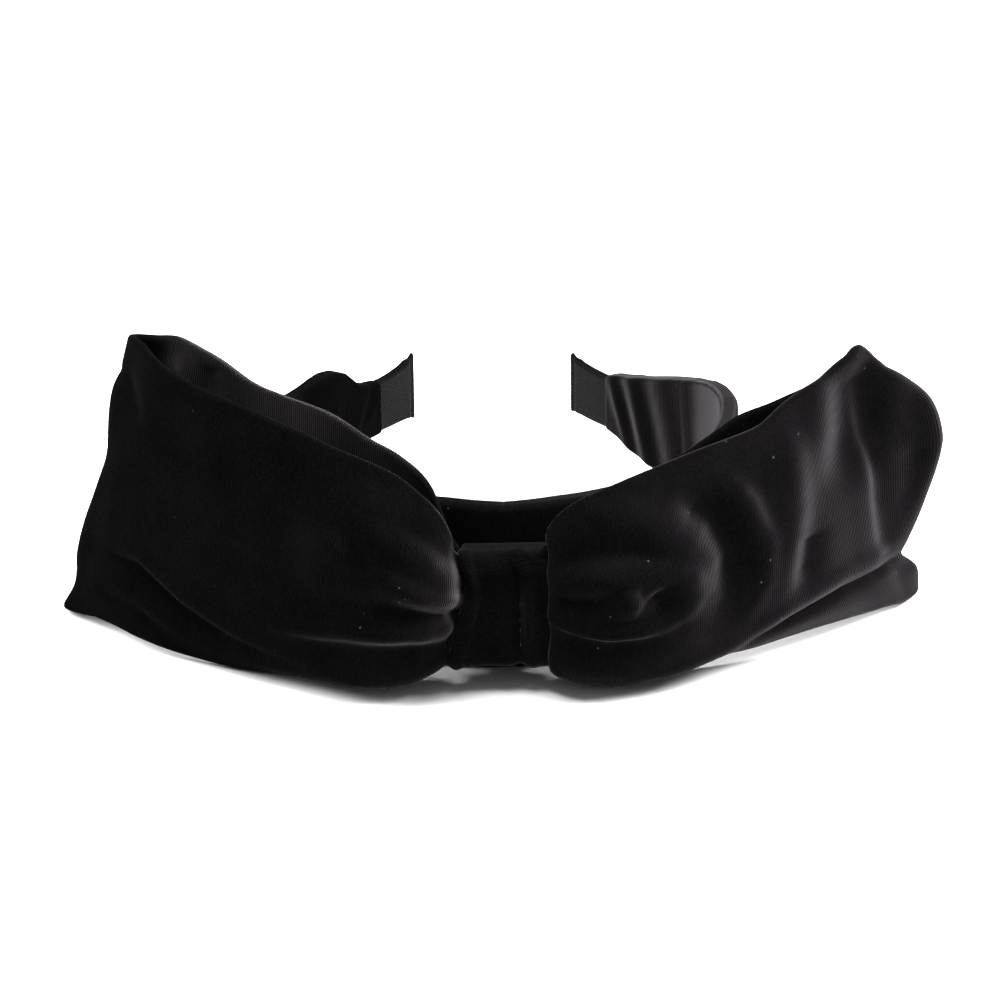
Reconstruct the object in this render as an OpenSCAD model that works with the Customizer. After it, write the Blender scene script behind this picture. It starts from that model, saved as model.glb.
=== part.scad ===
// Velvet bow headband: a C-shaped spring band in a velvet sleeve, with grosgrain tips and a
// two-loop bow gathered under a wrapped knot. It lies on its lower edge, crown towards -Y,
// tips towards +Y. The origin is in the middle of the head's place, on the lower edge's plane.

/* [Band] */
// Distance from the origin to the crown's inner face
crown_y = 62.3; // [58:0.1:66]
// Radius of the crown's inner face
crown_r = 44.5; // [40:0.1:60]
// Radius of each side, from beside the crown to beyond the head's widest place
side_r = 63.9; // [55:0.1:80]
// Radius of the tighter bend behind each side
back_r = 26.1; // [22:0.1:36]
// Height of the velvet band at the crown
band_h = 38; // [32:0.5:44]
// Thickness of the spring strip
core_t = 1.6; // [1.2:0.1:2]
// Thickness of the foam on the strip's outer face
foam_t = 0.9; // [0.6:0.1:1.2]
// Thickness of the velvet sleeve's wall
velvet_t = 0.8; // [0.6:0.1:1]

/* [Arms] */
// Heading of the strip at each flex point
flex_deg = 50; // [46:1:56]
// Heading of the straight arms
arm_deg = 126.8; // [122:0.2:134]
// Length of the straight arm as far as the strip's end
arm_l = 39.7; // [36:0.1:44]
// Length of arm left bare of velvet
bare_l = 12; // [10:0.5:20]
// Height of the strip at its tip
tip_h = 12.2; // [10:0.2:14]
// Thickness of the grosgrain ribbon
ribbon_t = 0.4; // [0.3:0.05:0.5]

/* [Bow] */
// Thickness of a bow leaf, two velvet layers and the interlining
leaf_t = 2.4; // [2:0.1:2.8]
// Thickness of the interlining inside a leaf
stiffener_t = 0.5; // [0.3:0.1:0.7]
// Width of the knot wrap
knot_w = 17.4; // [15:0.2:20]
// Height of the knot wrap
knot_h = 25.5; // [23:0.5:28]
// Depth of the knot wrap, front to back
knot_d = 11; // [10:0.2:12]
// Thickness of the knot wrap's wall
knot_t = 1.6; // [1.2:0.1:2]
// Turns of thread round the bow's waist
thread_turns = 5; // [3:1:7]

/* [Hidden] */

velvet_black = [0.05, 0.05, 0.055];
grosgrain_black = [0.09, 0.09, 0.1];
mid_z = band_h / 2;
crown_deg = 43.3;         // the crown's arc ends at this heading
side_deg = 105.9;         // and the side's arc at this one
step_deg = 4;
flex_gap_deg = 0.45;      // half the gap between the strips at a flex point
mid_gap_deg = 0.05;       // half the gap between the sleeve's halves, under the knot
core_in = velvet_t;
core_out = core_in + core_t;
foam_out = core_out + foam_t;
sleeve_out = foam_out + velvet_t;
sleeve_end = arm_deg + arm_l - bare_l;
core_end = arm_deg + arm_l;
ribbon_start = core_end - bare_l - 9;
ribbon_end = core_end + 0.4;
big = 400;

// A station u is a heading in degrees up to arm_deg, then arm_deg plus millimetres along the arm.
crown_c = [0, crown_r - crown_y];
side_c = crown_c + (crown_r - side_r) * [sin(crown_deg), -cos(crown_deg)];
back_c = side_c + (side_r - back_r) * [sin(side_deg), -cos(side_deg)];
function outward(u) = let (h = min(u, arm_deg)) [sin(h), -cos(h)];
function along(u) = let (h = min(u, arm_deg)) [cos(h), sin(h)];
function inner_point(u) =
    u <= crown_deg ? crown_c + crown_r * outward(u)
    : u <= side_deg ? side_c + side_r * outward(u)
    : back_c + back_r * outward(u) + max(0, u - arm_deg) * along(u);
function band_point(u, d) = inner_point(u) + d * outward(u);
function both_point(u, d) = let (p = band_point(abs(u), d)) [sign(u) * p[0], p[1]];
function stations(a, b, before = 0, after = 0) =
    concat(before > 0 ? [a - before] : [], [a],
           [for (u = [step_deg * ceil((a + 0.5) / step_deg) : step_deg : b - 0.5]) u],
           [b], after > 0 ? [b + after] : []);
function reversed(list) = [for (i = [len(list) - 1 : -1 : 0]) list[i]];

// Plan of the right half of the band between two stations and two depths; a cut runs on past them
module band_plan(u0, u1, d0, d1, before = 0, after = 0) {
    us = stations(u0, u1, before, after);
    polygon(concat([for (u = us) band_point(u, d1)], reversed([for (u = us) band_point(u, d0)])));
}

// Side view: [y, half height] pairs become a solid limit along X
module height_limit(pairs) {
    rotate([90, 0, 90]) linear_extrude(big, center = true)
        polygon(concat([for (p = pairs) [p[0], mid_z + p[1]]],
                       reversed([for (p = pairs) [p[0], mid_z - p[1]]])));
}

sleeve_half = [[-90, band_h / 2], [-12, band_h / 2], [6, 17.2], [24, 14], [34, 12], [42, 9.6], [47, 7.8], [90, 7.8]];
core_half = [[-90, band_h / 2 - velvet_t], [-30, band_h / 2 - velvet_t], [0, 13], [30, tip_h / 2], [90, tip_h / 2]];

// One layer of the band: depth range and the heights that bound it
module band_layer(u0, u1, d0, d1, halves, before = 0, after = 0) {
    intersection() {
        linear_extrude(band_h) band_plan(u0, u1, d0, d1, before, after);
        height_limit(halves);
    }
}

// One layer right across the crown, from flex point to flex point
module crown_layer(d0, d1) {
    right = stations(0, flex_deg - flex_gap_deg);
    us = concat([for (u = reversed(right)) -u], [for (u = right) if (u > 0) u]);
    intersection() {
        linear_extrude(band_h)
            polygon(concat([for (u = us) both_point(u, d1)], reversed([for (u = us) both_point(u, d0)])));
        height_limit(core_half);
    }
}
module both_halves() {
    children();
    mirror([1, 0, 0]) children();
}

// The ribbon's tube round the strip's tip, pressed flat and glued just past the end
module ribbon_body(grow, u0, u1) {
    d0 = core_in - grow;
    d1 = core_out + grow;
    intersection() {
        linear_extrude(band_h) band_plan(u0, u1, d0, d1);
        height_limit([[-90, tip_h / 2 + grow], [90, tip_h / 2 + grow]]);
    }
}
module tip_ribbon() {
    pinch_l = 1.6;
    mid_d = (core_in + core_out) / 2;
    difference() {
        union() {
            ribbon_body(ribbon_t, ribbon_start, ribbon_end);
            intersection() {
                linear_extrude(band_h)
                    band_plan(ribbon_end, ribbon_end + pinch_l, mid_d - ribbon_t, mid_d + ribbon_t);
                height_limit([[-90, tip_h / 2 + 1], [90, tip_h / 2 + 1]]);
            }
        }
        intersection() {
            linear_extrude(band_h) band_plan(ribbon_start - 1, core_end, core_in, core_out);
            height_limit([[-90, tip_h / 2], [90, tip_h / 2]]);
        }
    }
}

// Sleeve: the full velvet outline less the strip, foam and ribbon that it holds
module sleeve_crown_solid() {
    difference() {
        band_layer(mid_gap_deg, flex_deg - flex_gap_deg, 0, sleeve_out, sleeve_half);
        band_layer(0, flex_deg - flex_gap_deg, core_in, foam_out, core_half, 1, 1);
    }
}
module sleeve_arm_solid() {
    difference() {
        band_layer(flex_deg + flex_gap_deg, sleeve_end, 0, sleeve_out, sleeve_half);
        band_layer(flex_deg + flex_gap_deg, ribbon_start, core_in, foam_out, core_half, 1);
        ribbon_body(ribbon_t, ribbon_start, sleeve_end + 1);
    }
}

// Bow. The leaf's plan is a closed teardrop through these points, from the knot's front round
// the outer fold to the knot's back.
waist_y0 = -77.1;
waist_y1 = -71;
waist_z = [8, 28.8];
leaf_path = [[5, -75.8], [16, -79.6], [32, -82], [52, -76], [74, -60], [90, -43.5],
             [94.6, -34], [89.5, -29.4], [78, -33.5], [62, -43.5], [44, -54.5], [28, -63.4],
             [14, -68.4], [5, -72.3]];
function spline(p, i, t) =
    let (n = len(p) - 1, a = p[max(i - 1, 0)], b = p[i], c = p[i + 1], d = p[min(i + 2, n)])
    0.5 * (2 * b + (c - a) * t + (2 * a - 5 * b + 4 * c - d) * t * t
           + (3 * b - a - 3 * c + d) * t * t * t);
function smooth_path(p, k) =
    concat([for (i = [0 : len(p) - 2], j = [0 : k - 1]) spline(p, i, j / k)], [p[len(p) - 1]]);
function normal_at(q, i) =
    let (d = q[min(i + 1, len(q) - 1)] - q[max(i - 1, 0)]) [d[1], -d[0]] / norm(d);
leaf_line = smooth_path(leaf_path, 4);
loop_rise = [[0, waist_z[1]], [9, waist_z[1]], [11.5, 37.5], [15, 41], [20, 44.8], [28, 48.5], [40, 51.3],
             [54, 55.5], [66, 59.8], [76, 63], [82, 61], [91, 52], [97, 43]];
loop_drop = [[0, waist_z[0]], [9, waist_z[0]], [12, 4.4], [24, 2.4], [44, 0.8], [97, 0.3]];

module leaf_plan(half) {
    n = len(leaf_line);
    polygon(concat([for (i = [0 : n - 1]) leaf_line[i] + half * normal_at(leaf_line, i)],
                   reversed([for (i = [0 : n - 1]) leaf_line[i] - half * normal_at(leaf_line, i)])));
}
module front_view_limit(inset) {
    rotate([90, 0, 0]) linear_extrude(big, center = true)
        polygon(concat([for (p = loop_rise) p - [0, inset]],
                       reversed([for (p = loop_drop) p + [0, inset]])));
}
module stiffener_solid() {
    root_clear = 12;
    edge_inset = 2;
    intersection() {
        linear_extrude(big / 4) leaf_plan(stiffener_t / 2);
        front_view_limit(edge_inset);
        translate([root_clear, -100, 0]) cube([big, 100, 100]);
    }
}
module loop_solid() {
    root_l = knot_w / 2 + 0.8;
    difference() {
        union() {
            intersection() {
                linear_extrude(big / 4) leaf_plan(leaf_t / 2);
                front_view_limit(0);
                translate([knot_w / 2 + 0.05, -100, 0]) cube([big, 100, 100]);
            }
            translate([0.05, waist_y0, waist_z[0]])
                cube([root_l, waist_y1 - waist_y0, waist_z[1] - waist_z[0]]);
        }
        stiffener_solid();
    }
}

// Rounded tube along X, centred on the waist
module round_rect(w, h, r) {
    square([w - 2 * r, h], center = true);
    square([w, h - 2 * r], center = true);
    for (x = [-1, 1], y = [-1, 1])
        translate([x * (w / 2 - r), y * (h / 2 - r)]) circle(r, $fn = 32);
}
module around_waist(length) {
    translate([0, (waist_y0 + waist_y1) / 2, (waist_z[0] + waist_z[1]) / 2])
        rotate([90, 0, 90]) linear_extrude(length, center = true) children();
}
waist_d = waist_y1 - waist_y0;
waist_h = waist_z[1] - waist_z[0];
knot_back = (waist_y0 + waist_y1) / 2 + knot_d / 2;

// Sub-parts
module core_crown() { color("dimgray") crown_layer(core_in, core_out); }
module core_right_arm() {
    color("dimgray") band_layer(flex_deg + flex_gap_deg, core_end, core_in, core_out, core_half);
}
module core_left_arm() { mirror([1, 0, 0]) core_right_arm(); }
module foam_crown() { color("gainsboro") crown_layer(core_out, foam_out); }
module foam_right_arm() {
    color("gainsboro") band_layer(flex_deg + flex_gap_deg, ribbon_start, core_out, foam_out, core_half);
}
module foam_left_arm() { mirror([1, 0, 0]) foam_right_arm(); }
module sleeve_crown_right() { color(velvet_black) sleeve_crown_solid(); }
module sleeve_crown_left() { mirror([1, 0, 0]) sleeve_crown_right(); }
module sleeve_right_arm() { color(velvet_black) sleeve_arm_solid(); }
module sleeve_left_arm() { mirror([1, 0, 0]) sleeve_right_arm(); }
module right_tip_ribbon() { color(grosgrain_black) tip_ribbon(); }
module left_tip_ribbon() { mirror([1, 0, 0]) right_tip_ribbon(); }
module bow_right_loop() { color(velvet_black) loop_solid(); }
module bow_left_loop() { mirror([1, 0, 0]) bow_right_loop(); }
module right_loop_stiffener() { color("white") stiffener_solid(); }
module left_loop_stiffener() { mirror([1, 0, 0]) right_loop_stiffener(); }

// Thread wound round the gathered waist, one ring a turn
module waist_thread() {
    thread_d = 0.7;
    pitch = 1;
    color("black") for (i = [0 : thread_turns - 1])
        translate([(i - (thread_turns - 1) / 2) * pitch, 0, 0]) around_waist(thread_d) difference() {
            round_rect(waist_d + 2 * thread_d, waist_h + 2 * thread_d, thread_d);
            square([waist_d, waist_h], center = true);
        }
}

// The velvet strip that wraps the waist
module knot_wrap() {
    color(velvet_black) around_waist(knot_w) difference() {
        round_rect(knot_d, knot_h, 3);
        round_rect(knot_d - 2 * knot_t, knot_h - 2 * knot_t, 1);
    }
}

// Hand stitches that close the wrap's overlap, between the knot and the band
module knot_stitches() {
    stitch_r = 0.3;
    stitch_l = 3;
    stitches = 4;
    color("black") for (i = [0 : stitches - 1])
        translate([-4.5 + 3 * i, knot_back + stitch_r + 0.03, 25]) cylinder(h = stitch_l, r = stitch_r, $fn = 24);
}

// Hot-melt pad that holds the knot's back on the crown
module bow_glue_pad() {
    pad_w = 12;
    pad_z = [11, 24];
    color("wheat") difference() {
        translate([-pad_w / 2, knot_back, pad_z[0]]) cube([pad_w, 6, pad_z[1] - pad_z[0]]);
        linear_extrude(band_h) {
            both_halves() band_plan(0, flex_deg, -30, sleeve_out);
        }
    }
}

core_crown();
core_left_arm();
core_right_arm();
foam_crown();
foam_left_arm();
foam_right_arm();
sleeve_crown_left();
sleeve_crown_right();
sleeve_left_arm();
sleeve_right_arm();
left_tip_ribbon();
right_tip_ribbon();
bow_left_loop();
bow_right_loop();
left_loop_stiffener();
right_loop_stiffener();
waist_thread();
knot_wrap();
knot_stitches();
bow_glue_pad();
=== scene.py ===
# %% [markdown]
# # A velvet bow headband
# The object is a C-shaped spring band in a black velvet sleeve. A big two-loop bow sits on its
# crown, gathered under a wrapped knot, and both tips are capped with ribbed ribbon. The packed
# part gives every body and its place; this script gives the cloth its folds and its finish.

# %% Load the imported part
import math

import bpy
import numpy as np
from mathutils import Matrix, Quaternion, Vector


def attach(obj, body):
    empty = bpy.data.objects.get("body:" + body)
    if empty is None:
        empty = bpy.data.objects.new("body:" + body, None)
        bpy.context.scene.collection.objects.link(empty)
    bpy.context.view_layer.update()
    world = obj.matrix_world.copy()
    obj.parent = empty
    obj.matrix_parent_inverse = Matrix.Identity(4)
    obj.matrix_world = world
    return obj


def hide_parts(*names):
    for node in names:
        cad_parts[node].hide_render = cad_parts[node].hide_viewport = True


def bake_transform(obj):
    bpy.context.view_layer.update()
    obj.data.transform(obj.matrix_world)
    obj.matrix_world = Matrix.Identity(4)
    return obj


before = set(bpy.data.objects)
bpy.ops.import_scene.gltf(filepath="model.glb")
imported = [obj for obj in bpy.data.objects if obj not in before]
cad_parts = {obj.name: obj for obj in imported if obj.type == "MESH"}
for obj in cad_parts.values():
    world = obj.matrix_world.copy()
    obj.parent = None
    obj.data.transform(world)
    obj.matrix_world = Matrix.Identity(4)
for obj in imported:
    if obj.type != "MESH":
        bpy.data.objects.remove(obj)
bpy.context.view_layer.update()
bpy.ops.object.select_all(action="DESELECT")

# %% [markdown]
# ## Camera
# The camera goes first, because every later choice is judged through it. It stands 0.76 m in
# front of the bow, 22 degrees above the horizon, with a long lens, so the far tips look only
# a little smaller than the bow.

# %% Camera
MM = 0.001
camera_target = Vector((0.44, -2, 13)) * MM
camera_away = 760 * MM
camera_up_deg, camera_roll_deg, camera_turn_deg = 22, -0.6, 1.1
lens_mm = 118.44

up, turn = math.radians(camera_up_deg), math.radians(camera_turn_deg)
back = Vector((-math.sin(turn) * math.cos(up), -math.cos(turn) * math.cos(up), math.sin(up)))
camera_data = bpy.data.cameras.new("camera")
camera_data.lens = lens_mm
camera_data.sensor_width = 36
camera_data.clip_start = 0.01
camera = bpy.data.objects.new("camera", camera_data)
bpy.context.scene.collection.objects.link(camera)
camera.location = camera_target + back * camera_away
camera.rotation_mode = "QUATERNION"
camera.rotation_quaternion = (-back).to_track_quat("-Z", "Y") @ Quaternion(
    (0, 0, 1), math.radians(camera_roll_deg))
bpy.context.scene.camera = camera
print("camera at", [round(v, 3) for v in camera.location])

# %% [markdown]
# ## Materials
# Velvet is dark where its pile is looked into and light where it is looked across, which is
# what the sheen of the Principled shader does. Colours are written as they look on a screen and
# made linear by one function. One helper adds a node, sets its sockets and joins it up. Which
# way the pile leans is a vector on each point, called nap, that tilts the shading normal.

# %% Material helpers
def linear(hex_colour):
    """A screen colour such as #1a1a1c as linear red, green, blue and alpha."""
    parts = [int(hex_colour[i:i + 2], 16) / 255 for i in (1, 3, 5)]
    return [c / 12.92 if c <= 0.04045 else ((c + 0.055) / 1.055) ** 2.4 for c in parts] + [1]


def add_node(material, kind, **inputs):
    """One node: a keyword is a property, or a socket by name with _ for space; a socket links."""
    node = material.node_tree.nodes.new(kind)
    for name, value in inputs.items():
        if hasattr(node, name) and name not in {"height", "color", "width"}:
            setattr(node, name, value)
            continue
        socket = node.inputs[int(name[1:])] if name[1:].isdigit() else node.inputs[
            name.replace("_", " ")]
        if isinstance(value, bpy.types.NodeSocket):
            material.node_tree.links.new(value, socket)
        else:
            socket.default_value = value
    return node


def new_material(name):
    material = bpy.data.materials.new(name)
    material.use_nodes = True
    material.node_tree.nodes.clear()
    return material


def finish_material(material, shader):
    output = add_node(material, "ShaderNodeOutputMaterial")
    material.node_tree.links.new(shader.outputs[0], output.inputs["Surface"])
    print("material", material.name, "with", len(material.node_tree.nodes), "nodes")
    return material


# %% Velvet
WALE = 0.52 * MM


def velvet(name, dark, light, sheen, wale_depth):
    """Knitted velvet: wales across the strip, a short uneven pile and a soft sheen."""
    m = new_material(name)
    place = add_node(m, "ShaderNodeUVMap", uv_map="cloth")
    wales = add_node(m, "ShaderNodeTexWave", Vector=place.outputs["UV"], bands_direction="X",
                     Scale=2 * math.pi / (20 * WALE), Distortion=1.2, Detail=1.0,
                     Detail_Scale=2.0)
    where = add_node(m, "ShaderNodeTexCoord")
    pile = add_node(m, "ShaderNodeTexNoise", Vector=where.outputs["Object"], Scale=2600,
                    Detail=2.0, Roughness=0.6)
    brushed = add_node(m, "ShaderNodeTexNoise", Vector=where.outputs["Object"], Scale=70,
                       Detail=4.0, Roughness=0.6)
    patch = add_node(m, "ShaderNodeMapRange", Value=brushed.outputs["Fac"], From_Min=0.35,
                     From_Max=0.7)
    rows = add_node(m, "ShaderNodeMath", operation="MULTIPLY", i0=wales.outputs["Fac"], i1=0.25)
    grain = add_node(m, "ShaderNodeMapRange", Value=pile.outputs["Fac"], From_Min=0.35,
                     From_Max=0.68)
    speck = add_node(m, "ShaderNodeMath", operation="MULTIPLY_ADD", i0=grain.outputs[0], i1=0.6,
                     i2=rows.outputs[0])
    tone = add_node(m, "ShaderNodeMath", operation="MULTIPLY_ADD", i0=patch.outputs[0], i1=0.35,
                    i2=speck.outputs[0])
    lint = add_node(m, "ShaderNodeTexVoronoi", Vector=where.outputs["Object"], Scale=230.0)
    fleck = add_node(m, "ShaderNodeMapRange", Value=lint.outputs["Distance"], From_Min=0.03,
                     From_Max=0.07, To_Min=1.0, To_Max=0.0)
    rare = add_node(m, "ShaderNodeTexNoise", Vector=where.outputs["Object"], Scale=150.0)
    some = add_node(m, "ShaderNodeMapRange", Value=rare.outputs["Fac"], From_Min=0.53,
                    From_Max=0.58)
    dust = add_node(m, "ShaderNodeMath", operation="MULTIPLY", i0=fleck.outputs[0],
                    i1=some.outputs[0])
    cloth_colour = add_node(m, "ShaderNodeMix", data_type="RGBA", Factor=tone.outputs[0],
                            i6=linear(dark), i7=linear(light))
    colour = add_node(m, "ShaderNodeMix", data_type="RGBA", Factor=dust.outputs[0],
                      i6=cloth_colour.outputs["Result"], i7=linear("#3a3a3f"))
    facing = add_node(m, "ShaderNodeNewGeometry")
    lean = add_node(m, "ShaderNodeAttribute", attribute_name="nap")
    tilted = add_node(m, "ShaderNodeVectorMath", operation="ADD", i0=facing.outputs["Normal"],
                      i1=lean.outputs["Vector"])
    pile_way = add_node(m, "ShaderNodeVectorMath", operation="NORMALIZE", i0=tilted.outputs[0])
    bumps = add_node(m, "ShaderNodeMath", operation="ADD", i0=wales.outputs["Fac"],
                     i1=pile.outputs["Fac"])
    bump = add_node(m, "ShaderNodeBump", Height=bumps.outputs[0], Strength=wale_depth,
                    Distance=0.12 * MM, Normal=pile_way.outputs[0])
    shader = add_node(m, "ShaderNodeBsdfPrincipled", Base_Color=colour.outputs["Result"],
                      Normal=bump.outputs[0], Roughness=0.8, Specular_IOR_Level=0.0,
                      Sheen_Weight=sheen, Sheen_Roughness=0.3,
                      Sheen_Tint=linear("#f2e9f0"))
    return finish_material(m, shader)


bow_velvet = velvet("bow_black_stretch_velvet", "#020202", "#0c0b0c", 0.12, 0.35)
band_velvet = velvet("band_black_stretch_velvet", "#020202", "#0c0b0c", 0.12, 0.35)

# %% Grosgrain, strip, foam, thread and glue
RIB_MM = 0.56


def grosgrain_material():
    m = new_material("black_grosgrain_ribbon")
    place = add_node(m, "ShaderNodeUVMap", uv_map="cloth")
    ribs = add_node(m, "ShaderNodeTexWave", Vector=place.outputs["UV"], bands_direction="Y",
                    Scale=2 * math.pi / (20 * RIB_MM * MM), Distortion=0.0)
    where = add_node(m, "ShaderNodeTexCoord")
    lint = add_node(m, "ShaderNodeTexNoise", Vector=where.outputs["Object"], Scale=1400,
                    Detail=3.0)
    tone = add_node(m, "ShaderNodeMath", operation="MULTIPLY", i0=ribs.outputs["Fac"],
                    i1=lint.outputs["Fac"])
    colour = add_node(m, "ShaderNodeMix", data_type="RGBA", Factor=tone.outputs[0],
                      i6=linear("#020203"), i7=linear("#0e0e11"))
    bump = add_node(m, "ShaderNodeBump", Height=ribs.outputs["Fac"], Strength=0.8,
                    Distance=0.2 * MM)
    return finish_material(m, add_node(
        m, "ShaderNodeBsdfPrincipled", Base_Color=colour.outputs["Result"],
        Normal=bump.outputs[0], Roughness=0.5, Specular_IOR_Level=0.03, Sheen_Weight=0.0))


def plain_material(name, dark, light, scale, roughness, depth, sheen=0.0):
    """A fine mottled finish for the parts inside."""
    m = new_material(name)
    where = add_node(m, "ShaderNodeTexCoord")
    noise = add_node(m, "ShaderNodeTexNoise", Vector=where.outputs["Object"], Scale=scale,
                     Detail=4.0, Roughness=0.6)
    colour = add_node(m, "ShaderNodeMix", data_type="RGBA", Factor=noise.outputs["Fac"],
                      i6=linear(dark), i7=linear(light))
    bump = add_node(m, "ShaderNodeBump", Height=noise.outputs["Fac"], Strength=0.5,
                    Distance=depth)
    return finish_material(m, add_node(
        m, "ShaderNodeBsdfPrincipled", Base_Color=colour.outputs["Result"],
        Normal=bump.outputs[0], Roughness=roughness, Sheen_Weight=sheen))


grosgrain = grosgrain_material()
strip_plastic = plain_material("moulded_polypropylene_strip", "#141416", "#202023", 900, 0.45,
                               0.03 * MM)
foam_sheet = plain_material("thin_polyester_foam", "#c9c8c2", "#e6e5df", 2600, 0.95, 0.25 * MM)
interlining_white = plain_material("non_woven_interlining", "#d8d7d2", "#f0efeb", 3800, 0.9,
                                   0.1 * MM, 0.2)
thread_black = plain_material("black_polyester_thread", "#0c0c0e", "#26262a", 5200, 0.6,
                              0.08 * MM, 0.2)
hot_melt = plain_material("hot_melt_adhesive", "#b9a981", "#d8cba6", 700, 0.35, 0.05 * MM)

for node, material in (("core_crown", strip_plastic), ("core_left_arm", strip_plastic),
                       ("core_right_arm", strip_plastic), ("foam_crown", foam_sheet),
                       ("foam_left_arm", foam_sheet), ("foam_right_arm", foam_sheet),
                       ("waist_thread", thread_black), ("knot_stitches", thread_black),
                       ("bow_glue_pad", hot_melt)):
    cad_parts[node].data.materials.clear()
    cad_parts[node].data.materials.append(material)


# %% [markdown]
# ## Cloth from lines
# Each piece of velvet is one strip. It is drawn as a row of columns, each a few points from the
# strip's top edge to its bottom edge, and smooth lines through them make an even grid. Every
# point also carries its place on the flat strip as UV, in metres, for the wales to follow.

# %% Cloth helpers
def smooth(points, count):
    """Points on a smooth line through the given ones, count of them, along the first axis."""
    p = np.asarray(points, float)
    n = len(p) - 1
    padded = np.concatenate([2 * p[:1] - p[1:2], p, 2 * p[-1:] - p[-2:-1]])
    t = np.linspace(0, n, count)
    i = np.minimum(t.astype(int), n - 1)
    f = (t - i).reshape((-1,) + (1,) * (p.ndim - 1))
    a, b, c, d = (padded[i + k] for k in range(4))
    return 0.5 * (2 * b + (c - a) * f + (2 * a - 5 * b + 4 * c - d) * f ** 2
                  + (3 * b - a - 3 * c + d) * f ** 3)


def even(points, count):
    """The same line with its points evenly spaced along its length."""
    p = np.asarray(points, float)
    s = np.concatenate([[0], np.cumsum(np.linalg.norm(np.diff(p, axis=0), axis=1))])
    t = np.linspace(0, s[-1], count)
    return np.stack([np.interp(t, s, p[:, k]) for k in range(p.shape[1])], 1)


def grid_from_columns(columns, along, down):
    """Columns of points in millimetres made an (along, down, 3) grid in metres."""
    grid = smooth(columns, 4 * along)
    grid = np.stack([smooth(column, 4 * down) for column in grid])
    grid = np.stack([even(column, down) for column in grid])
    middle = grid[:, down // 2]
    s = np.concatenate([[0], np.cumsum(np.linalg.norm(np.diff(middle, axis=0), axis=1))])
    t = np.linspace(0, s[-1], along)
    flat = grid.reshape(len(grid), -1)
    return np.stack([np.interp(t, s, flat[:, k]) for k in range(flat.shape[1])],
                    1).reshape(along, down, 3) * MM


def normals_of(grid):
    """Unit normals at the points of a grid."""
    du, dv = np.gradient(grid, axis=0), np.gradient(grid, axis=1)
    n = np.cross(du, dv)
    return n / np.maximum(np.linalg.norm(n, axis=2, keepdims=True), 1e-12)


print("a line of three points, smoothed:", smooth([[0, 0], [1, 1], [2, 0]], 5).tolist())
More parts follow.
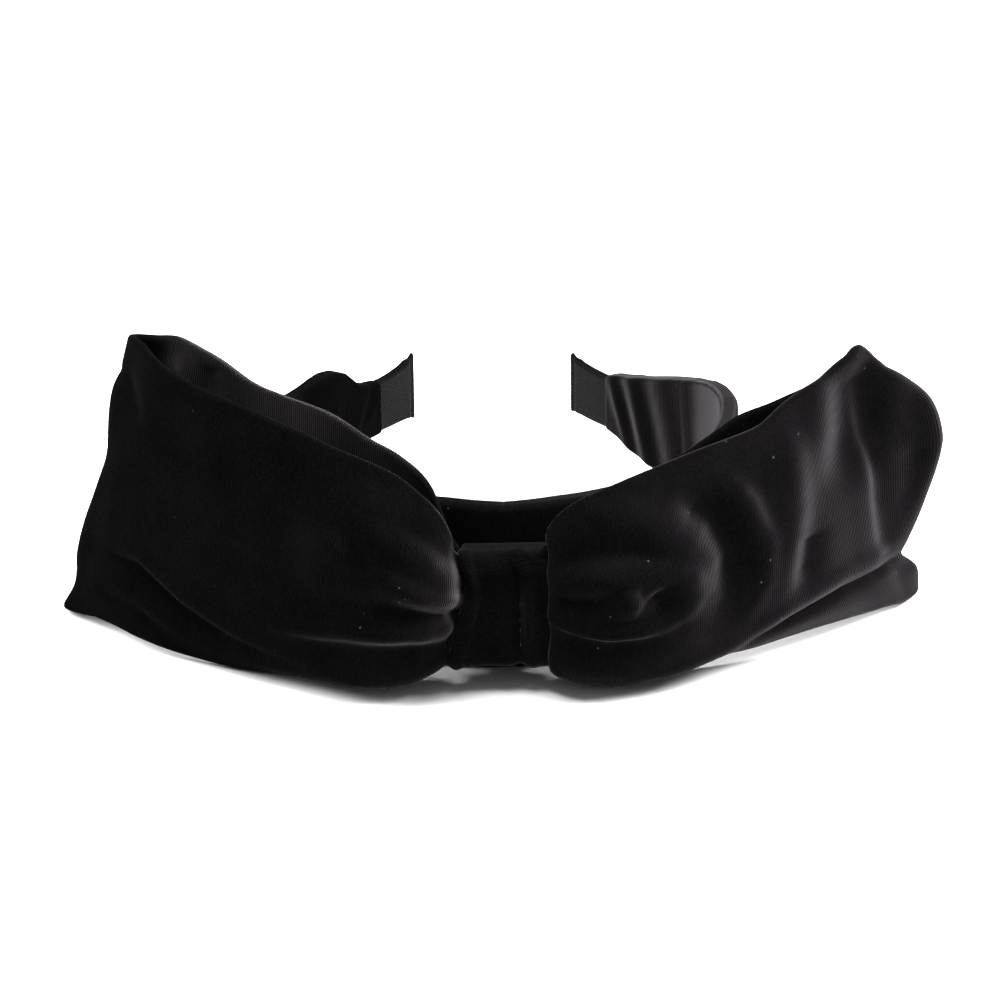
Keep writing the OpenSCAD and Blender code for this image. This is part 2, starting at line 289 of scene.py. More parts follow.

# %% [markdown]
# ## Bow loops
# Each side of the bow is one doubled strip of velvet. It leaves the knot gathered, bulges forward
# as the front leaf, turns over at the outer fold, and comes back against the band as the back leaf.
# Along its lower side the strip is creased, and the cloth below the crease turns in. A cloth
# simulation would not stop at these very folds, so the columns are given one by one.

# %% Left loop columns
left_front = [
    [(-10.1, -77.3, 30.8), (-10.3, -78.1, 26.8), (-10.6, -78.6, 22.8), (-10.9, -78.6, 18.7),
     (-11.1, -78.5, 16.0), (-11.1, -78.3, 14.7), (-11.1, -77.7, 12.9), (-11.0, -75.5, 11.1)],
    [(-11.7, -77.8, 35.8), (-12.1, -80.8, 29.5), (-12.6, -82.0, 23.2), (-13.1, -81.5, 16.9),
     (-13.4, -80.1, 12.6), (-13.5, -79.2, 10.5), (-13.1, -77.2, 8.8), (-12.7, -73.5, 7.0)],
    [(-14.1, -77.8, 40.5), (-14.7, -82.4, 32.1), (-15.3, -84.2, 23.7), (-15.9, -83.3, 15.3),
     (-16.3, -81.1, 9.6), (-16.5, -79.6, 6.9), (-15.9, -76.9, 5.4), (-15.3, -72.5, 4.0)],
    [(-17.7, -77.8, 44.6), (-18.4, -83.6, 34.6), (-19.1, -85.9, 24.6), (-19.8, -84.7, 14.6),
     (-20.3, -81.9, 7.8), (-20.5, -80.0, 4.6), (-19.8, -76.8, 3.4), (-19.1, -72.0, 2.2)],
    [(-22.6, -77.0, 48.4), (-23.4, -83.7, 37.3), (-24.3, -86.5, 26.1), (-25.2, -85.5, 15.0),
     (-25.7, -82.5, 7.5), (-26.0, -80.5, 3.9), (-25.1, -76.8, 2.3), (-24.3, -71.5, 1.2)],
    [(-28.5, -75.5, 51.0), (-29.6, -82.0, 39.3), (-30.7, -85.0, 27.7), (-31.8, -84.5, 16.0),
     (-32.6, -82.2, 8.1), (-32.9, -80.5, 4.4), (-32.8, -76.8, 2.3), (-32.8, -71.5, 1.2)],
    [(-34.9, -73.0, 53.0), (-36.2, -78.5, 41.5), (-37.5, -81.2, 29.9), (-38.9, -81.2, 18.4),
     (-39.8, -79.7, 10.5), (-40.2, -78.5, 6.8), (-40.2, -75.0, 3.2), (-40.1, -70.0, 1.2)],
    [(-41.1, -70.0, 55.1), (-42.8, -74.5, 43.3), (-44.6, -76.8, 31.6), (-46.3, -76.8, 19.9),
     (-47.5, -75.5, 11.9), (-48.1, -74.5, 8.2), (-48.2, -71.8, 4.2), (-48.2, -67.5, 1.2)],
    [(-48.4, -66.0, 57.0), (-50.2, -70.0, 45.1), (-52.0, -72.0, 33.2), (-53.8, -72.0, 21.2),
     (-55.1, -70.9, 13.1), (-55.7, -70.0, 9.3), (-56.3, -68.0, 5.2), (-56.9, -64.5, 1.2)],
    [(-55.8, -61.5, 59.0), (-57.5, -65.0, 47.0), (-59.1, -66.8, 35.0), (-60.8, -66.8, 22.9),
     (-61.9, -65.8, 14.7), (-62.4, -65.0, 10.9), (-63.7, -63.5, 6.3), (-65.0, -60.5, 1.7)],
    [(-62.7, -57.0, 60.6), (-64.2, -60.0, 48.8), (-65.6, -61.5, 37.0), (-67.1, -61.5, 25.3),
     (-68.1, -60.6, 17.2), (-68.6, -60.0, 13.5), (-70.7, -58.8, 7.9), (-72.8, -56.0, 2.3)],
    [(-68.4, -52.5, 62.2), (-69.9, -54.9, 50.9), (-71.4, -56.0, 39.6), (-72.9, -55.9, 28.3),
     (-73.9, -55.1, 20.7), (-74.4, -54.5, 17.0), (-77.0, -53.5, 10.0), (-79.7, -51.0, 3.1)],
    [(-72.2, -48.5, 63.5), (-73.9, -50.2, 52.3), (-75.7, -51.0, 41.1), (-77.5, -50.8, 29.9),
     (-78.7, -50.0, 22.3), (-79.2, -49.5, 18.7), (-82.0, -48.3, 11.0), (-84.7, -45.5, 3.3)],
    [(-74.7, -44.5, 64.6), (-77.0, -45.6, 53.1), (-79.3, -46.0, 41.5), (-81.5, -45.6, 29.9),
     (-83.1, -44.9, 22.1), (-83.8, -44.5, 18.4), (-86.4, -43.5, 10.8), (-89.1, -41.0, 3.3)],
    [(-76.7, -40.5, 65.5), (-79.6, -41.0, 53.5), (-82.4, -41.0, 41.5), (-85.3, -40.5, 29.5),
     (-87.3, -39.9, 21.4), (-88.2, -39.5, 17.5), (-90.5, -38.9, 9.9), (-92.8, -36.8, 2.3)],
    [(-79.1, -35.0, 65.2), (-82.7, -35.5, 52.6), (-84.4, -35.5, 39.9), (-87.2, -34.5, 32.5),
     (-90.8, -34.0, 22.9), (-92.8, -33.5, 16.0), (-94.0, -32.5, 7.4), (-97.0, -31.5, 1.5)],
]
left_back = [
    [(-78.0, -31.3, 64.2), (-81.0, -31.0, 52.0), (-82.5, -30.7, 39.5), (-85.0, -30.0, 29.0),
     (-88.0, -29.2, 19.5), (-89.5, -28.7, 12.5), (-90.5, -28.0, 6.0), (-92.5, -27.6, 1.2)],
    [(-74.2, -30.5, 63.6), (-76.0, -30.3, 50.5), (-77.0, -30.3, 38.0), (-78.5, -30.3, 27.0),
     (-80.5, -30.5, 17.0), (-81.5, -30.5, 11.0), (-82.5, -30.6, 5.5), (-83.5, -30.8, 1.4)],
    [(-69.2, -31.5, 63.5), (-70.8, -32.2, 49.5), (-71.2, -33.0, 37.5), (-72.0, -33.8, 26.0),
     (-72.8, -34.6, 16.0), (-73.4, -35.1, 10.2), (-74.0, -35.5, 5.2), (-74.5, -36.0, 1.4)],
    [(-63.9, -36.0, 62.2), (-65.0, -37.0, 48.6), (-65.0, -38.0, 36.6), (-65.2, -39.0, 25.5),
     (-65.6, -39.6, 15.6), (-66.0, -40.0, 10.0), (-66.2, -40.4, 5.0), (-66.5, -40.8, 1.4)],
    [(-59.4, -39.5, 60.6), (-60.3, -41.0, 47.5), (-60.2, -42.3, 36.0), (-60.2, -43.3, 25.0),
     (-60.4, -44.0, 15.3), (-60.6, -44.4, 9.8), (-60.8, -44.8, 5.0), (-61.0, -45.2, 1.4)],
    [(-52.8, -44.5, 57.4), (-53.4, -46.2, 46.0), (-53.2, -47.8, 35.0), (-53.0, -48.8, 24.5),
     (-53.0, -49.5, 15.0), (-53.1, -49.9, 9.6), (-53.2, -50.2, 5.0), (-53.4, -50.6, 1.4)],
    [(-46.1, -49.5, 56.1), (-46.6, -51.3, 44.8), (-46.3, -52.8, 34.0), (-46.0, -53.8, 23.8),
     (-45.9, -54.4, 14.8), (-45.9, -54.7, 9.5), (-46.0, -55.0, 5.0), (-46.1, -55.3, 1.5)],
    [(-36.3, -57.0, 54.8), (-36.5, -58.5, 43.5), (-36.2, -59.6, 33.0), (-36.0, -60.3, 23.4),
     (-35.8, -60.8, 14.8), (-35.8, -61.0, 9.8), (-35.8, -61.2, 5.6), (-35.8, -61.4, 2.2)],
    [(-28.0, -62.5, 51.0), (-27.8, -63.6, 41.0), (-27.5, -64.4, 31.5), (-27.3, -65.0, 22.8),
     (-27.2, -65.3, 15.2), (-27.2, -65.5, 10.6), (-27.2, -65.6, 6.8), (-27.2, -65.7, 3.4)],
    [(-21.6, -66.0, 48.3), (-21.7, -66.9, 38.5), (-21.5, -67.6, 30.0), (-21.4, -68.0, 22.4),
     (-21.3, -68.3, 15.6), (-21.3, -68.4, 11.4), (-21.3, -68.5, 7.8), (-21.3, -68.5, 4.6)],
    [(-15.4, -69.0, 42.8), (-15.4, -69.6, 34.5), (-15.2, -70.1, 27.5), (-15.1, -70.4, 21.6),
     (-15.0, -70.6, 16.2), (-15.0, -70.7, 12.4), (-15.0, -70.7, 9.2), (-15.0, -70.7, 6.2)],
    [(-10.0, -71.0, 30.0), (-10.0, -71.3, 26.0), (-10.0, -71.6, 22.0), (-10.0, -71.8, 18.2),
     (-10.0, -71.9, 15.0), (-10.0, -72.0, 12.8), (-10.0, -72.0, 10.8), (-10.0, -72.0, 8.6)],
]
left_root_front = [(-4.0, -77.0 + 0.1 * k, 28.0 - 2.6 * k) for k in range(8)]
left_root_back = [(-4.0, -72.4, 28.0 - 2.6 * k) for k in range(8)]
print("left loop:", len(left_front), "columns out and", len(left_back), "back")

# %% Right loop columns
right_front = [
    [(9.6, -77.3, 33.6), (9.6, -78.1, 27.4), (9.6, -78.6, 21.1), (9.7, -78.6, 14.8),
     (9.7, -78.5, 10.5), (9.7, -78.3, 8.5), (9.7, -77.7, 7.1), (9.7, -75.5, 5.6)],
    [(9.6, -77.8, 36.5), (9.6, -80.8, 28.9), (9.6, -82.0, 21.3), (9.8, -81.5, 13.7),
     (9.9, -80.1, 8.6), (9.9, -79.2, 6.1), (10.0, -77.2, 4.8), (10.1, -73.5, 3.5)],
    [(11.8, -77.8, 39.6), (11.9, -82.6, 30.9), (12.1, -84.6, 22.2), (12.3, -83.6, 13.5),
     (12.4, -81.3, 7.5), (12.4, -79.8, 4.8), (12.4, -76.9, 3.3), (12.3, -72.5, 1.8)],
    [(15.5, -77.8, 42.2), (15.7, -84.0, 32.6), (15.9, -86.5, 23.0), (16.2, -85.2, 13.3),
     (16.3, -82.2, 6.8), (16.4, -80.2, 3.7), (16.3, -76.9, 2.0), (16.2, -72.0, 1.2)],
    [(20.5, -77.2, 44.5), (20.9, -84.0, 34.2), (21.3, -86.9, 23.9), (21.7, -85.7, 13.6),
     (21.9, -82.6, 6.6), (22.1, -80.5, 3.3), (22.1, -76.8, 1.4), (22.1, -71.5, 1.2)],
    [(26.8, -75.5, 46.6), (27.2, -82.4, 36.0), (27.6, -85.5, 25.3), (28.0, -84.9, 14.7),
     (28.2, -82.3, 7.5), (28.4, -80.5, 4.1), (28.5, -76.8, 2.1), (28.5, -71.5, 1.2)],
    [(34.0, -73.0, 48.6), (34.6, -79.0, 37.8), (35.2, -82.0, 27.0), (35.8, -82.0, 16.1),
     (36.3, -80.3, 8.7), (36.5, -79.0, 5.3), (36.6, -75.3, 3.3), (36.7, -70.0, 1.3)],
    [(40.8, -70.0, 50.2), (41.7, -74.6, 39.4), (42.6, -77.0, 28.5), (43.5, -77.1, 17.6),
     (44.1, -75.9, 10.2), (44.4, -75.0, 6.8), (44.7, -72.0, 5.0), (45.0, -67.5, 3.3)],
    [(47.8, -66.0, 51.2), (48.8, -70.1, 40.5), (49.9, -72.2, 29.7), (50.9, -72.4, 19.0),
     (51.6, -71.3, 11.7), (52.0, -70.5, 8.3), (52.5, -68.3, 6.1), (53.0, -64.5, 3.9)],
    [(53.6, -62.0, 52.1), (55.0, -65.6, 41.6), (56.4, -67.5, 31.1), (57.8, -67.6, 20.6),
     (58.7, -66.7, 13.4), (59.2, -66.0, 10.1), (60.0, -64.0, 7.3), (60.7, -60.5, 4.5)],
    [(58.4, -57.5, 54.6), (60.1, -60.6, 43.7), (61.9, -62.2, 32.9), (63.6, -62.4, 22.1),
     (64.7, -61.6, 14.7), (65.3, -61.0, 11.2), (66.5, -59.3, 7.9), (67.7, -56.0, 4.5)],
    [(63.3, -53.0, 56.6), (65.2, -55.6, 45.5), (67.2, -57.0, 34.4), (69.1, -57.1, 23.3),
     (70.4, -56.5, 15.8), (71.0, -56.0, 12.2), (72.5, -54.3, 8.1), (74.0, -51.0, 4.0)],
    [(68.9, -48.5, 58.3), (70.8, -50.5, 46.9), (72.7, -51.5, 35.4), (74.5, -51.5, 24.0),
     (75.8, -50.9, 16.2), (76.4, -50.5, 12.6), (78.2, -48.8, 7.9), (80.0, -45.5, 3.1)],
    [(74.0, -44.5, 60.8), (75.7, -45.9, 48.7), (77.5, -46.5, 36.7), (79.3, -46.4, 24.6),
     (80.5, -45.9, 16.3), (81.0, -45.5, 12.5), (83.0, -44.0, 7.5), (85.0, -41.0, 2.5)],
    [(77.9, -40.5, 62.1), (79.6, -41.2, 49.6), (81.3, -41.5, 37.1), (83.0, -41.2, 24.7),
     (84.2, -40.8, 16.2), (84.8, -40.5, 12.2), (87.0, -39.3, 6.9), (89.2, -36.5, 1.5)],
    [(84.0, -35.5, 54.9), (92.8, -35.0, 48.6), (96.2, -34.5, 39.7), (95.5, -34.0, 32.4),
     (92.2, -34.0, 21.8), (88.2, -34.5, 12.0), (92.1, -32.0, 7.0), (92.6, -31.5, 2.1)],
]
right_back = [
    [(81.0, -31.3, 55.0), (87.0, -31.0, 47.0), (89.5, -30.7, 38.5), (89.0, -30.0, 29.5),
     (86.5, -29.6, 20.0), (84.0, -29.6, 12.5), (86.5, -28.6, 6.5), (86.8, -28.4, 1.6)],
    [(75.0, -31.0, 54.0), (78.5, -30.8, 45.5), (80.0, -30.6, 36.5), (79.5, -30.5, 27.0),
     (78.0, -30.6, 17.5), (77.5, -30.9, 11.0), (78.5, -30.9, 5.8), (79.0, -31.0, 1.6)],
    [(69.0, -34.0, 51.2), (70.8, -34.4, 44.0), (71.4, -35.0, 35.0), (71.2, -35.4, 25.5),
     (71.0, -35.8, 16.0), (71.0, -36.0, 10.2), (71.4, -36.2, 5.4), (71.6, -36.4, 1.5)],
    [(63.0, -38.0, 50.2), (64.6, -38.8, 43.2), (64.9, -39.6, 34.2), (64.9, -40.2, 25.0),
     (64.9, -40.7, 15.8), (65.0, -41.0, 10.0), (65.2, -41.2, 5.2), (65.4, -41.5, 1.5)],
    [(57.8, -43.0, 50.0), (57.9, -44.2, 42.5), (58.1, -45.2, 33.5), (58.1, -46.0, 24.5),
     (58.1, -46.6, 15.5), (58.2, -46.9, 9.9), (58.3, -47.2, 5.2), (58.5, -47.5, 1.5)],
    [(51.0, -47.0, 48.9), (51.2, -48.6, 42.0), (51.2, -50.0, 33.0), (51.1, -50.9, 24.0),
     (51.1, -51.5, 15.2), (51.2, -51.8, 9.8), (51.3, -52.1, 5.2), (51.4, -52.4, 1.5)],
    [(45.0, -51.5, 46.6), (45.0, -53.0, 41.2), (44.9, -54.2, 32.4), (44.8, -55.0, 23.6),
     (44.7, -55.5, 15.0), (44.8, -55.8, 9.8), (44.9, -56.0, 5.2), (45.0, -56.3, 1.6)],
    [(36.8, -58.0, 43.6), (36.6, -59.0, 39.8), (36.4, -60.0, 31.5), (36.2, -60.6, 23.2),
     (36.0, -61.0, 15.2), (36.0, -61.2, 10.2), (36.0, -61.4, 6.0), (36.0, -61.5, 2.6)],
    [(28.0, -63.0, 41.0), (27.8, -64.0, 38.0), (27.6, -64.7, 30.2), (27.4, -65.1, 22.8),
     (27.3, -65.4, 15.6), (27.3, -65.6, 11.0), (27.3, -65.7, 7.2), (27.3, -65.8, 3.8)],
    [(21.9, -66.4, 39.0), (21.7, -67.2, 36.0), (21.5, -67.8, 29.2), (21.4, -68.1, 22.4),
     (21.3, -68.4, 16.0), (21.3, -68.5, 11.8), (21.3, -68.6, 8.2), (21.3, -68.6, 5.0)],
    [(15.6, -69.2, 36.0), (15.4, -69.7, 32.5), (15.2, -70.2, 27.0), (15.1, -70.4, 21.6),
     (15.0, -70.6, 16.4), (15.0, -70.7, 12.8), (15.0, -70.7, 9.6), (15.0, -70.7, 6.6)],
    [(10.0, -71.0, 30.0), (10.0, -71.3, 26.0), (10.0, -71.6, 22.0), (10.0, -71.8, 18.2),
     (10.0, -71.9, 15.0), (10.0, -72.0, 12.8), (10.0, -72.0, 10.8), (10.0, -72.0, 8.6)],
]
right_root_front = [(4.0, y, z) for _, y, z in left_root_front]
right_root_back = [(4.0, y, z) for _, y, z in left_root_back]
print("right loop:", len(right_front), "columns out and", len(right_back), "back")

# %% Loop surfaces
LEAF = 1.9 * MM
LEFT_OUT, KNOT_OUT = 1, 1   # which side of a grid faces away from the band
ALONG, DOWN = 230, 92
BACK_FROM, TURN_ROWS = 122, 12   # the row where a leaf has turned back, and how fast


def slab(name, grid, thickness, material, outward, cyclic=False, nap=None, rise=None):
    """A doubled strip: the grid given a rounded thickness, closed all round."""
    wrapped = np.concatenate([grid[-2:], grid, grid[:2]]) if cyclic else grid
    n = normals_of(wrapped) * outward * thickness / 2
    n = n[2:-2] if cyclic else n
    across = np.gradient(grid, axis=1)
    across /= np.maximum(np.linalg.norm(across, axis=2, keepdims=True), 1e-12)
    rim = [(math.cos(a), math.sin(a)) for a in np.radians([45, 90, 135])]
    bottom = [grid[:, -1] + c * n[:, -1] + s * across[:, -1] * thickness / 2 for c, s in rim]
    top = [grid[:, 0] - c * n[:, 0] - s * across[:, 0] * thickness / 2 for c, s in rim]
    ring = np.concatenate([grid + n, np.stack(bottom, 1), (grid - n)[:, ::-1],
                           np.stack(top, 1)], 1)
    return tube(name, ring, material, cyclic, nap, rise)


def tube(name, ring, material, cyclic=False, nap=None, rise=None):
    """Closed rings in a row made a mesh, capped or joined up, with its flat size as UV.

    The nap is how far the pile leans along the strip, and the rise how far it leans upwards: a
    number, or one for each ring.
    """
    along, around = ring.shape[:2]
    ring = np.concatenate([ring, ring[:1]]) if cyclic else ring
    looped = np.concatenate([ring, ring[:, :1]], 1)
    ds = np.linalg.norm(np.diff(ring, axis=0), axis=2).mean(1)
    dt = np.linalg.norm(np.diff(looped, axis=1), axis=2).mean(0)
    s, t = np.concatenate([[0], np.cumsum(ds)]), np.concatenate([[0], np.cumsum(dt)])
    index = np.arange(along * around).reshape(along, around)
    index = np.concatenate([index, index[:1]]) if cyclic else index
    index = np.concatenate([index, index[:, :1]], 1)
    faces = np.stack([index[:-1, :-1], index[1:, :-1], index[1:, 1:], index[:-1, 1:]],
                     2).reshape(-1, 4)
    caps = [] if cyclic else [index[0, :-1].tolist(), index[-1, :-1][::-1].tolist()]
    mesh = bpy.data.meshes.new(name)
    mesh.from_pydata(ring[:along].reshape(-1, 3).tolist(), [], faces.tolist() + caps)
    flat = np.stack(np.meshgrid(s, t, indexing="ij"), 2)
    corners = np.stack([flat[:-1, :-1], flat[1:, :-1], flat[1:, 1:], flat[:-1, 1:]], 2)
    uv_values = [corners.reshape(-1, 2)]
    uv_values += [] if cyclic else [flat[0, :-1], flat[-1, :-1][::-1]]
    uv = mesh.uv_layers.new(name="cloth")
    uv.data.foreach_set("uv", np.concatenate(uv_values).astype(np.float32).ravel())
    mesh.polygons.foreach_set("use_smooth", [True] * (len(faces) + len(caps)))
    if nap is not None:
        way = np.gradient(ring[:along], axis=0)
        way /= np.maximum(np.linalg.norm(way, axis=2, keepdims=True), 1e-12)
        way = way * np.broadcast_to(np.asarray(nap, float), (along,))[:, None, None]
        if rise is not None:
            way[:, :, 2] += np.broadcast_to(np.asarray(rise, float), (along,))[:, None]
        lean = mesh.attributes.new("nap", "FLOAT_VECTOR", "POINT")
        lean.data.foreach_set("vector", way.reshape(-1, 3).astype(np.float32).ravel())
    piece = bpy.data.objects.new(name, mesh)
    bpy.context.scene.collection.objects.link(piece)
    mesh.materials.append(material)
    outside(piece)
    return piece


def outside(piece):
    """Turns every face of the piece outwards."""
    bpy.ops.object.select_all(action="DESELECT")
    bpy.context.view_layer.objects.active = piece
    piece.select_set(True)
    bpy.ops.object.mode_set(mode="EDIT")
    bpy.ops.mesh.select_all(action="SELECT")
    bpy.ops.mesh.normals_make_consistent(inside=False)
    bpy.ops.object.mode_set(mode="OBJECT")
    piece.select_set(False)


# %% [markdown]
# ## Folds
# The smooth leaves are only the bow's overall shape. Real cloth also has pleats that run
# out of the knot, a crease along the low side and soft dents where it was packed. Each is a line
# in the front view with a height, and the cloth near the line moves along its own normal.

# %% Folds in the leaves
def fold(points, line, height, width):
    """How far each point near a line of (x, z) in millimetres moves; it fades at the ends."""
    flat = points[..., [0, 2]] / MM
    p = np.asarray(line, float)
    lengths = np.linalg.norm(np.diff(p, axis=0), axis=1)
    starts = np.concatenate([[0], np.cumsum(lengths)])
    near = np.full(flat.shape[:2], 1e9)
    at = np.zeros(flat.shape[:2])
    for k, length in enumerate(lengths):
        way = (p[k + 1] - p[k]) / length
        t = np.clip((flat - p[k]) @ way, 0, length)
        gap = np.linalg.norm(flat - p[k] - t[..., None] * way, axis=2)
        closer = gap < near
        near[closer], at[closer] = gap[closer], (starts[k] + t)[closer]
    f = at / starts[-1]
    fade = np.clip(np.minimum(f / 0.2 + 0.15, (1 - f) / 0.4 + 0.05), 0, 1)
    return height * fade * np.exp(-(near / width) ** 2 / 2)


def with_folds(grid, folds, outward):
    """The grid with all its folds pushed in, forward being away from the band."""
    normals = normals_of(grid) * outward
    total = np.zeros(grid.shape[:2])
    for line, height, width, front in folds:
        span = slice(0, len(grid) // 2 + 8) if front else slice(len(grid) // 2 + 8, None)
        total[span] += fold(grid[span], line, height, width)
    return grid + normals * total[..., None] * MM


left_folds = [
    ([(-88.4, 17.9), (-78.5, 19.0), (-68.7, 13.4), (-58.5, 9.6), (-42, 6.1)], -1.2, 1.1, True),
    ([(-88, 22), (-78.5, 23), (-68.7, 17.2), (-58.5, 13.4), (-42, 10)], 0.9, 1.9, True),
    ([(-92, 14), (-79.1, 13.4), (-69.4, 8.6), (-60, 5.0)], 0.8, 1.3, True),
    ([(-90, 9.0), (-79, 8.6), (-69.4, 4.6)], -0.8, 1.3, True),
    ([(-9, 20.6), (-17.4, 25.2), (-25, 29.6), (-28, 32)], 1.7, 1.3, True),
    ([(-9, 18.4), (-17, 21.6), (-26, 24.0), (-38, 25)], -1.9, 2.0, True),
    ([(-9, 15.4), (-20, 17.6), (-32.3, 17.9), (-56.2, 15)], 1.7, 1.3, True),
    ([(-9, 12.2), (-20, 13.2), (-34, 12.9), (-50, 11)], -1.5, 2.2, True),
    ([(-9.5, 9), (-20, 7.5), (-32, 5.5)], 0.9, 2.0, True),
    ([(-10, 27.5), (-14, 34), (-20, 39), (-30, 43)], -0.9, 1.8, True),
    ([(-10, 24), (-16, 31), (-22, 36), (-30, 39)], 1.1, 2.0, True),
    ([(-33, 38), (-36.5, 34), (-37, 29), (-33, 24)], 1.7, 2.6, True),
    ([(-30, 37), (-30.5, 33), (-29, 30)], -1.0, 2.2, True),
    ([(-44, 42), (-46.5, 34), (-44, 25)], -1.3, 3.4, True),
    ([(-80.5, 60), (-78.4, 55.4), (-77.6, 48)], -1.0, 1.5, True),
    ([(-84, 58), (-85, 46), (-87, 34)], 0.9, 2.0, True),
    ([(-68, 61), (-66.5, 52), (-65, 40)], -1.1, 1.6, False),
    ([(-62, 60), (-61, 52)], 0.7, 1.5, False),
]
right_folds = [
    ([(10, 32), (17.2, 40.5), (27, 39.6), (36.2, 35), (39, 31)], 1.6, 2.2, True),
    ([(9.5, 29.5), (16, 34.0), (26, 34.0), (36, 29.5)], -1.7, 2.0, True),
    ([(9.5, 26.8), (17, 28.6), (28, 29.4), (38, 27), (42, 21)], 1.7, 1.6, True),
    ([(9.5, 23.4), (16, 24.6), (22, 24.6)], -1.5, 1.5, True),
    ([(23.6, 27), (25, 24), (25.6, 20.5)], 1.9, 1.3, True),
    ([(30, 26.0), (32.0, 23.0), (32, 19.5)], -1.5, 1.9, True),
    ([(36, 27), (38, 22), (37, 17)], 1.0, 1.8, True),
    ([(9.5, 19.2), (21.7, 17.0), (32.8, 17.8), (38, 20)], 1.6, 1.0, True),
    ([(9.5, 15.8), (20, 13.4), (33, 13.4)], -1.9, 2.2, True),
    ([(9.5, 9), (20, 7.6), (34, 8.4)], 1.1, 2.0, True),
    ([(34.6, 44.1), (43.2, 37.5), (46.9, 29.5), (46.6, 20.4), (43, 13)], -2.6, 2.6, True),
    ([(44, 45), (50.2, 38), (54.0, 30), (53.9, 21.4), (50, 13)], 1.5, 1.8, True),
    ([(59.2, 51), (60.4, 34.3), (58.7, 19.5), (56, 13)], 1.9, 2.8, True),
    ([(75.6, 61), (75.2, 46.8), (73.0, 33)], -2.6, 4.2, True),
    ([(67.0, 60), (67.0, 48), (65, 36)], 0.9, 3.0, True),
    ([(83.6, 56), (82.3, 43.3), (79.5, 29)], 1.3, 3.6, True),
    ([(64.9, 29), (63.8, 16)], -1.6, 2.2, True),
    ([(91, 40), (90, 30), (87, 20)], -0.9, 2.6, True),
    ([(88.5, 12.7), (81.7, 12.1), (73.3, 12.3), (67, 11.3), (61.1, 10.2), (52.8, 7.8),
      (45.9, 4.6)], -1.2, 1.0, True),
    ([(88.5, 15.8), (81.7, 15.4), (73.3, 15.4), (67, 14.4), (61.1, 13.2), (52.8, 10.8)], 0.8, 1.5,
     True),
    ([(78, 54), (70, 50), (60, 47)], 0.5, 2.0, False),
]
left_grid = grid_from_columns([left_root_front] + left_front + left_back + [left_root_back],
                              ALONG, DOWN)
right_grid = grid_from_columns([right_root_front] + right_front + right_back + [right_root_back],
                               ALONG, DOWN)
left_grid = with_folds(left_grid, left_folds, LEFT_OUT)
right_grid = with_folds(right_grid, right_folds, -LEFT_OUT)
returning = np.clip((np.arange(ALONG) - BACK_FROM) / TURN_ROWS, 0, 1)
bow_left = slab("bow_left_leaf", left_grid, LEAF, bow_velvet, 1, nap=-0.42 - 0.75 * returning,
                rise=0.6 * returning)
bow_right = slab("bow_right_leaf", right_grid, LEAF, bow_velvet, -1, nap=0.28)
for piece in (bow_left, bow_right):
    print(piece.name, len(piece.data.polygons), "faces")

# %% [markdown]
# ## Interlining
# A bow this size needs something to keep it from drooping, so a thin non-woven sheet is taken
# to lie inside each leaf. It is hidden, so it is a guess. It follows the same surface, set in
# from the edges, so it is a slice of the leaf's own grid.

# %% Interlinings
INSET = 22   # rows of the leaf left out at each end


def interlining(name, grid, node):
    inner = grid[INSET:-INSET, 4:-4][::3, ::3]
    piece = slab(name, inner, 0.5 * MM, interlining_white, 1)
    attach(piece, "crown")
    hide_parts(node)
    return piece


stiff_left = interlining("interlining_left", left_grid, "left_loop_stiffener")
stiff_right = interlining("interlining_right", right_grid, "right_loop_stiffener")

# %% [markdown]
# ## Band sleeve
# The velvet sleeve is one tube round the strip and the foam. It is made as rounded rings along the
# band's own line, the same arcs as the strip, a half for each side; each side of the band has its
# own flex point, but the halves are not bent with it here. Towards the tips it narrows, and the
# cloth gathers.

# %% Line of the band
def out_at(degrees):
    return np.array([math.sin(math.radians(degrees)), -math.cos(math.radians(degrees))])


CROWN_R, CROWN_DEG, SIDE_R, SIDE_DEG, BACK_R, ARM_DEG = 44.5, 43.3, 63.9, 105.9, 26.1, 126.8
CROWN_C = np.array([0, CROWN_R - 62.3])
SIDE_C = CROWN_C + (CROWN_R - SIDE_R) * out_at(CROWN_DEG)
BACK_C = SIDE_C + (SIDE_R - BACK_R) * out_at(SIDE_DEG)
SLEEVE_T = 4.1
SLEEVE_END = 154.5


def band_frame(u):
    """Plan point on the inner face, outward and along, at a heading in degrees, then mm of arm."""
    out = out_at(min(u, ARM_DEG))
    ahead = np.array([-out[1], out[0]])
    if u <= CROWN_DEG:
        return CROWN_C + CROWN_R * out, out, ahead
    if u <= SIDE_DEG:
        return SIDE_C + SIDE_R * out, out, ahead
    return BACK_C + BACK_R * out + max(0, u - ARM_DEG) * ahead, out, ahead


def ring_at(u, d0, d1, z0, z1, corner, side, faces=34):
    """A rounded rectangle round the band between two depths and two heights."""
    point, out, _ = band_frame(u)
    r = min(corner, (d1 - d0) / 2 * 0.98)
    path = []
    for cd, cz, a0 in ((d1 - r, z1 - r, 90), (d1 - r, z0 + r, 0), (d0 + r, z0 + r, -90),
                       (d0 + r, z1 - r, -180)):
        path += [(cd + r * math.cos(a), cz + r * math.sin(a))
                 for a in np.radians(np.linspace(a0, a0 - 90, 6))]
    # straight faces are filled between the corners
    full = []
    for k in range(4):
        corner_points = path[6 * k:6 * k + 6]
        nxt = path[(6 * k + 6) % 24]
        full += corner_points
        count = faces if k in (0, 2) else 3
        last = corner_points[-1]
        full += [(last[0] + (nxt[0] - last[0]) * t, last[1] + (nxt[1] - last[1]) * t)
                 for t in np.linspace(0, 1, count + 2)[1:-1]]
    return np.array([[side * (point[0] + d * out[0]), point[1] + d * out[1], z]
                     for d, z in full])


